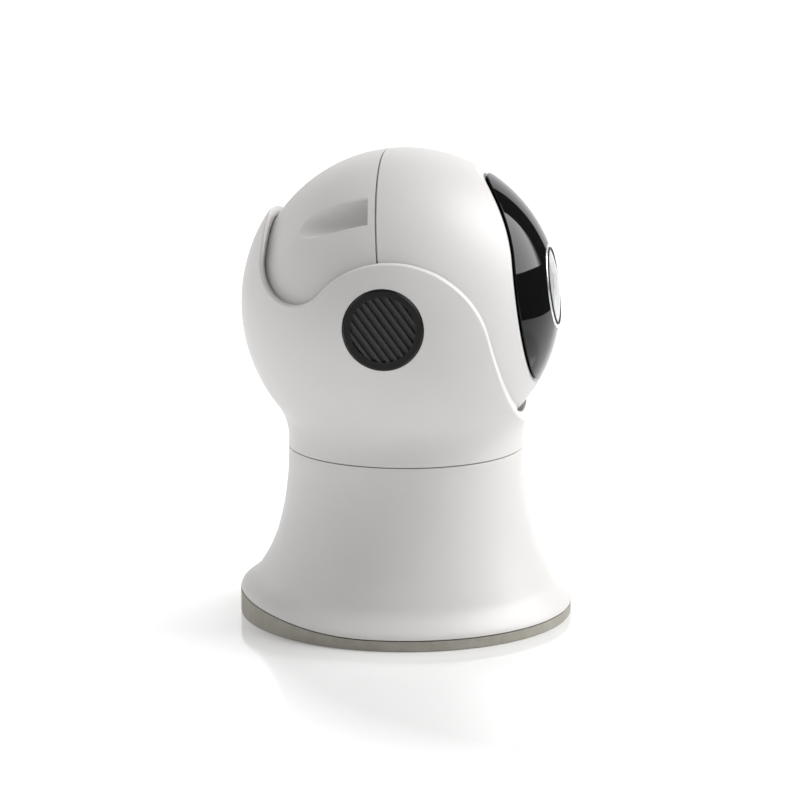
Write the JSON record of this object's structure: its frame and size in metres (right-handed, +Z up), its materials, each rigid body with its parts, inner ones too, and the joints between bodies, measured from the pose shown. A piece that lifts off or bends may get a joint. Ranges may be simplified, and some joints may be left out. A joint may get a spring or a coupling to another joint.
{
  "type": "baby monitor camera",
  "caption": "Ball-headed camera that pans on a flared round foot and tilts between two cradle ears, with a black visor round its lens.",
  "frame": {"origin": "centre of the foot's underside", "axes": "+Z up along the pan axis; the lens looks towards -Y; +X is the object's own left"},
  "size_m": [0.095, 0.095, 0.1335],
  "materials": {
    "white_shell": "satin moulded, very fine grain",
    "foot_rubber": "matt grey, slight green cast",
    "visor_black": "mirror gloss, infrared-passing",
    "grille_black": "satin black",
    "ring_silver": "fine satin anodised",
    "window_clear": "polished, coated",
    "lens_black": "matt anti-reflection black",
    "lens_glass": "polished, coated",
    "filter_glass": "coated filter glass",
    "led_clear": "clear epoxy",
    "inner_plastic": "plain moulded",
    "speaker_black": "pressed and coated",
    "circuit_board": "solder-masked laminate",
    "antenna_board": "flexible laminate",
    "chip_black": "moulded package",
    "button_grey": "satin",
    "screw_steel": "zinc plated",
    "ballast_steel": "plain rolled",
    "socket_steel": "tin plated",
    "motor_can": "zinc plated can",
    "sink_aluminium": "extruded, anodised",
    "gear_nylon": "natural acetal",
    "slip_nylon": "natural nylon"
  },
  "bodies": {
    "base": {"foot_pad": "foot_rubber", "bottom_plate": "inner_plastic", "base_screws": "screw_steel", "base_shell": "white_shell", "ballast_plate": "ballast_steel", "power_socket": "socket_steel", "power_board": "circuit_board", "board_screws": "screw_steel", "base_deck": "inner_plastic", "deck_screws": "screw_steel", "pan_motor": "motor_can", "pan_motor_screws": "screw_steel", "pan_slip_ring": "slip_nylon"},
    "pan_pinion": {"pan_pinion": "gear_nylon"},
    "cradle": {"cradle_shell": "white_shell", "pan_gear": "gear_nylon", "pan_retainer": "screw_steel", "retainer_screws": "screw_steel", "cradle_screws": "screw_steel", "left_ear_cup": "inner_plastic", "right_ear_cup": "inner_plastic", "left_grille": "grille_black", "right_grille": "grille_black", "speaker": "speaker_black", "microphone_board": "circuit_board", "right_ear_bush": "slip_nylon", "fixed_tilt_gear": "gear_nylon", "axle_screw": "screw_steel"},
    "head": {"front_shell": "white_shell", "rear_shell": "white_shell", "head_screws": "screw_steel", "visor": "visor_black", "lens_ring": "ring_silver", "lens_window": "window_clear", "lens_hood": "lens_black", "lens_barrel": "lens_black", "lens_elements": "lens_glass", "lens_holder": "lens_black", "ir_cut_filter": "filter_glass", "image_sensor": "chip_black", "sensor_board": "circuit_board", "board_posts": "screw_steel", "ir_board": "circuit_board", "ir_leds": "led_clear", "light_sensor": "led_clear", "main_board": "circuit_board", "board_spacers": "slip_nylon", "chassis_screws": "screw_steel", "processor_shield": "socket_steel", "heat_sink": "sink_aluminium", "antenna": "antenna_board", "service_board": "circuit_board", "card_socket": "socket_steel", "reset_switch": "chip_black", "pivot_tube": "slip_nylon", "left_head_bush": "slip_nylon", "tilt_motor": "motor_can", "tilt_motor_screws": "screw_steel"},
    "tilt_pinion": {"tilt_pinion": "gear_nylon"},
    "reset_button": {"reset_button": "button_grey"}
  },
  "joints": [
    {"name": "pan", "type": "hinge", "parent": "base", "child": "cradle", "pos_m": [0, 0, 0.0487], "axis": [0, 0, 1], "range_deg": [-175, 175]},
    {"name": "pan_drive", "type": "hinge", "parent": "base", "child": "pan_pinion", "pos_m": [0.01966, 0.01377, 0.037], "axis": [0, 0, 1], "range_deg": [-705, 705]},
    {"name": "tilt", "type": "hinge", "parent": "cradle", "child": "head", "pos_m": [0, 0, 0.08965], "axis": [-1, 0, 0], "range_deg": [-27.65, 82.35]},
    {"name": "tilt_drive", "type": "hinge", "parent": "head", "child": "tilt_pinion", "pos_m": [0, 0.00764, 0.07963], "axis": [-1, 0, 0], "range_deg": [-72, 210]},
    {"name": "reset_press", "type": "slide", "parent": "head", "child": "reset_button", "axis": [0, 0.6108, 0.7918], "range_m": [0, 0.0004], "stiffness_N_per_m": 400}
  ],
  "couplings": [
    {"joint": "pan_drive", "follows": "pan", "ratio": -4},
    {"joint": "tilt_drive", "follows": "tilt", "ratio": 2.5}
  ]
}
